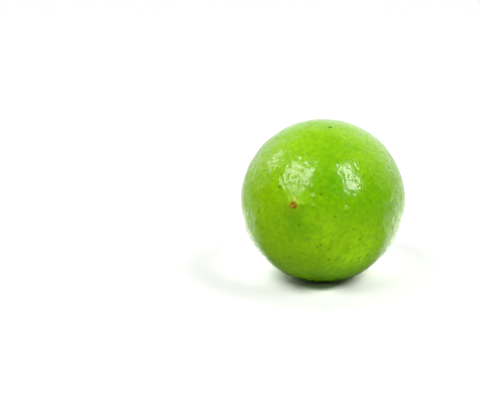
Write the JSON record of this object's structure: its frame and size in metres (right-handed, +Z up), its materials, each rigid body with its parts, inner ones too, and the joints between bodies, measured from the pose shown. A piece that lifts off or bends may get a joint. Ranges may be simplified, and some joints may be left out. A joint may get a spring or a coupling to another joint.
{
  "type": "lime",
  "caption": "Whole green lime as picked: an oval citrus fruit lying on its side, its blossom end a low nipple with the style scar, its stem end a dimple with the stem button.",
  "frame": {"origin": "the middle of the fruit's box on the surface that it rests on, which lies on its flat spot", "axes": "+Z up; the fruit's long axis lies along Y, with the blossom end towards -Y and tilted 12 degrees up, and the stem end towards +Y"},
  "size_m": [0.0514, 0.0594, 0.0521],
  "materials": {
    "peel": "gloss",
    "stem_button": "matte"
  },
  "bodies": {
    "root": {"lime": "peel"}
  },
  "joints": []
}
